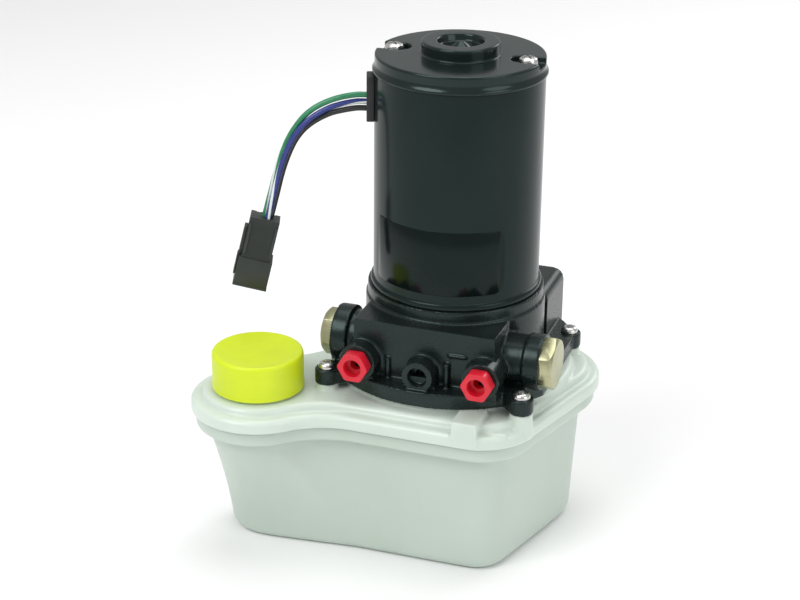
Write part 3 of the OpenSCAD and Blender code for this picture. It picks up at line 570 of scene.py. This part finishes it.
def lid():
    levels = [(66, outline(RIM, 1.0))] + [(z, outline(RIM, d)) for z, d in quarter(66, 67, 0.8, 0, 3, False)]
    levels += [(z, outline(RIM, d)) for z, d in [(70, 0)] + quarter(70, 72.5, 0, 2.8, 5, True)]
    levels += [(z, outline(RIM, d)) for z, d in quarter(72.6, 73.4, 4.6, 5.3, 2, False)]
    levels += [(z, outline(RIM, d)) for z, d in quarter(74, 76, 5.6, 8.4, 5, True)]
    o = shell("lid_moulding", levels, "lid")
    platform = lathe("platform", [(0, 74), (56, 74), (55.6, 77.6), (54.2, 78.9), (0, 79)], "lid", 128)
    cut(platform, box("trim", (-70, 41.5, 70), (70, 70, 85), "lid"))
    neck = lathe("neck", [(0, 72), (19.6, 72), (19.2, 76.4), (17.6, 77.6), (17.4, 89.2), (16.8, 90), (0, 90)],
                 "lid", 72, (*FILLER, 0))
    parts = [platform, neck]
    for x, y in LUGS:
        parts.append(lathe("lug_boss", [(0, 67), (5.9, 67), (5.1, 78.9), (0, 78.9)], "lid", 40, (x, y, 0)))
    parts.append(box("pad", (19.6, -67.1, 66.6), (31.4, -49, 78.9), "lid"))
    parts.append(box("web", (31, -60.5, 67), (43, -50, 73.4), "lid"))
    join(o, *parts)
    soften(o, 0.62, 5)
    hollow = shell("hollow", [(65, outline(RIM, 11.5)), (73, outline(RIM, 11.5))], "lid")
    cut(o, hollow, lathe("hole", [(0, 60), (47, 60), (47, 85), (0, 85)], "lid", 128),
        lathe("bore", [(0, 60), (14.5, 60), (14.5, 95), (0, 95)], "lid", 72, (*FILLER, 0)))
    run(o, "DECIMATE", ratio=0.45)
    smooth(o, 45)
    return piece(o, ROOT, "milky_plastic", "reservoir_lid")


def filler_cap():
    prof = [(18.1, 77), (20.7, 77), (21.15, 77.25), (21.2, 78), (20.95, 78.5), (20.9, 80), (20.95, 91.8),
            (20.8, 92.9), (20.35, 93.7), (19.6, 94), (19.0, 93.9), (17, 93.35), (13, 92.95), (8, 92.7),
            (0, 92.6), (0, 91.5), (17.6, 91.5), (18.1, 91)]
    o = lathe("screw_cap", prof, "yellow", 144, (*FILLER, 0))
    smooth(o, 50)
    return piece(o, "cap_body", "yellow_plastic", "filler_cap")


tub()
lid()
filler_cap()


# ---------------------------------------------------------------- valve body
def casting():
    """The cast body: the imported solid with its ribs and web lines, blended into one skin with small fillets."""
    o = from_node("valve_casting", "pump_body", "casting")
    extras = [
        box("rib", (10.6, -50.4, 84), (12.8, -40, 97.5), "casting"),
        box("ledge", (12, -48.2, 100.6), (20, -40, 101.8), "casting"),
        box("web_left", (-17.2, -48.6, 84), (-15.4, -40, 96), "casting"),
        box("saddle", (-7.2, -52.5, 84), (7.2, -40, 91), "casting"),
        box("left_foot", (-36, -52.5, 84), (-22, -40, 92), "casting"),
        box("right_foot", (22, -52.5, 84), (36, -40, 92), "casting"),
    ]
    join(o, *extras)
    soften(o, 0.5, 5)
    run(o, "DECIMATE", ratio=0.5)
    smooth(o, 45)
    return piece(o, ROOT, "black_casting", "pump_body")


casting()


def bevelled(name, node, mat, body, slot, width, segments=3, angle=30):
    return piece(edge_bevel(from_node(name, node, mat), width, segments, angle), body, slot, node)


bevelled("plug_hex_left", "left_end_plug", "brass", ROOT, "brass", 0.35)
bevelled("plug_hex_right", "right_end_plug", "brass", ROOT, "brass", 0.35)
bevelled("shipping_plug_left", "left_port_plug", "red", "left_port_plug_body", "red_plastic", 0.35)
bevelled("shipping_plug_right", "right_port_plug", "red", "right_port_plug_body", "red_plastic", 0.35)
bevelled("grommet_moulding", "cable_grommet", "rubber", ROOT, "black_rubber", 0.7)
bevelled("release_key_screw", "release_screw", "endcap", "release_body", "ground_steel", 0.2, 2)


def screws():
    """Domed heads with a round recess, on plain shanks."""
    heads = []
    for x, y in LUGS:
        prof = [(0, 70), (2, 70), (2, 86), (3.9, 86), (4.0, 86.6), (3.8, 87.6), (3.1, 88.4), (2.0, 88.7),
                (1.5, 88.6), (1.35, 87.4), (0, 87.3)]
        heads.append(lathe("lug_screws", prof, "zinc", 40, (x, y, 0)))
    o = join(*heads)
    smooth(o, 40)
    return piece(o, ROOT, "zinc_steel", "mounting_screws")


screws()


# ---------------------------------------------------------------- motor
CAN_R = 38.1
BOLT_X = 31
NOTCH_X = 28.8
NOTCH_R = 5.6


def motor_can():
    o = lathe("motor_shell", [
        (35.1, 118), (38.7, 118), (39.3, 118.6), (39.35, 120.2), (38.9, 120.9), (38.2, 121.3), (CAN_R, 122.2),
        (CAN_R, 217.2), (38.0, 218), (35.1, 218)], "can", 160)
    window = box("window", (32, -3, 197.5), (42, 3, 209), "can", LEAD)
    cut(o, window)
    smooth(o, 35)
    return piece(o, ROOT, "black_steel", "motor_can")


def end_cap():
    o = lathe("motor_cap", [
        (0, 220.6), (32, 220.6), (32, 214), (35, 214), (35, 218), (38.8, 218), (39.15, 218.3), (39.1, 219.2),
        (38.4, 220.3), (38.05, 221.4), (38.0, 225.4), (37.5, 226), (17.5, 226), (17.5, 231.1), (16.9, 231.7),
        (10.9, 231.7), (10.4, 231.2), (9.6, 228.5), (5.2, 228.3), (1.3, 231.2), (0, 231.5)], "endcap", 200)
    cut(o, lathe("hub", [(0, 219), (9, 219), (9, 225.5), (0, 225.5)], "endcap", 64))
    for side in (-1, 1):
        x = side * NOTCH_X
        pocket = lathe("pocket", [(0, 223), (5.4, 223), (NOTCH_R, 223.4), (5.7, 228), (0, 228)], "endcap", 48,
                       (x, 0, 0))
        lo, hi = sorted((x, side * 42))
        cut(o, pocket, box("notch", (lo, -NOTCH_R, 223), (hi, NOTCH_R, 229), "endcap"),
            lathe("bolt_hole", [(0, 210), (2.5, 210), (2.5, 226), (0, 226)], "endcap", 32,
                  (side * BOLT_X, 0, 0)))
    soften(o, 0.36, 2)
    run(o, "DECIMATE", ratio=0.5)
    smooth(o, 45)
    return piece(o, ROOT, "black_casting", "motor_end_cap")


def bolts():
    """Long screws with domed, cross-slotted heads in the end cap's notches."""
    heads = []
    for side in (-1, 1):
        o = lathe("can_bolts", [(0, 108), (2.4, 108), (2.4, 223), (4.2, 223), (4.25, 225.6), (3.9, 226.5),
                                (3.0, 227.1), (1.6, 227.4), (0, 227.5)], "zinc", 48, (side * BOLT_X, 0, 0))
        m = Matrix.Translation((side * BOLT_X, 0, 0)) @ Matrix.Rotation(math.radians(35), 4, "Z")
        cut(o, box("slot", (-3, -0.5, 226.2), (3, 0.5, 229), "zinc", m),
            box("slot", (-0.5, -3, 226.2), (0.5, 3, 229), "zinc", m))
        heads.append(o)
    o = join(*heads)
    smooth(o, 35)
    return piece(o, ROOT, "zinc_steel", "through_bolts")


def nameplate():
    """Blank film with rounded corners, wrapped on the can."""
    r, half_h, corner, mid_z = CAN_R, 15.0, 5.0, 140
    a0, a1 = math.radians(217), math.radians(321)
    half_w = r * (a1 - a0) / 2
    cols = 72
    verts, faces = [], []
    for k in range(cols + 1):
        u = -half_w + 2 * half_w * k / cols
        over = abs(u) - (half_w - corner)
        h = half_h - corner + math.sqrt(max(0.0, corner ** 2 - over ** 2)) if over > 0 else half_h
        a = (a0 + a1) / 2 + u / r
        section = ((-h, r + 0.02), (-h, r + 0.2), (-h + 0.15, r + 0.28), (h - 0.15, r + 0.28), (h, r + 0.2),
                   (h, r + 0.02))
        for z, rr in section:
            verts.append((rr * math.cos(a), rr * math.sin(a), mid_z + z))
    n = len(section)
    for k in range(cols):
        for i in range(n):
            a, b = k * n + i, k * n + (i + 1) % n
            faces.append((a, b, b + n, a + n))
    faces += [tuple(range(n))[::-1], tuple(cols * n + i for i in range(n))]
    o = new_object("blank_nameplate", verts, faces, "plate")
    smooth(o, 30)
    return piece(o, ROOT, "nameplate_film", "nameplate")


motor_can()
end_cap()
bolts()
nameplate()

for look, names in CAD_LOOKS.items():
    for node in names.split():
        o = NODES[node]
        for s in o.material_slots:
            s.link = "OBJECT"
            s.material = MAT[look]


# ---------------------------------------------------------------- floor and light
def studio():
    """Pale floor, even world light and four round lamps."""
    me = bpy.data.meshes.new("floor")
    me.from_pydata([(-3, -3, 0), (3, -3, 0), (3, 3, 0), (-3, 3, 0)], [], [(0, 1, 2, 3)])
    floor = bpy.data.objects.new("floor", me)
    bpy.context.scene.collection.objects.link(floor)
    m = material("pale_floor", (0.93, 0.93, 0.93), (0.95, 0.95, 0.95), 0.85, 0.05, patch=2, grain=40, bump=0.02)
    me.materials.append(m)
    world = bpy.data.worlds.new("world")
    bpy.context.scene.world = world
    world.use_nodes = True
    world.node_tree.nodes["Background"].inputs["Color"].default_value = (1, 1, 1, 1)
    world.node_tree.nodes["Background"].inputs["Strength"].default_value = 0.5
    aim = Vector((0, 0, 0.12))
    for name, at, size, power in (
        ("key", (-0.55, -0.95, 1.15), 0.9, 9.5),
        ("fill", (1.2, -0.5, 0.7), 0.9, 4.0),
        ("top", (0.0, 0.3, 1.5), 1.2, 9.0),
        ("rim", (0.5, 1.2, 0.8), 0.7, 3.5),
    ):
        data = bpy.data.lights.new(name, "AREA")
        data.shape = "DISK"
        data.size = size
        data.energy = power
        lamp = bpy.data.objects.new(name, data)
        bpy.context.scene.collection.objects.link(lamp)
        lamp.location = at
        lamp.rotation_euler = (aim - Vector(at)).to_track_quat("-Z", "Y").to_euler()
    bpy.context.scene.view_settings.view_transform = "Standard"


studio()
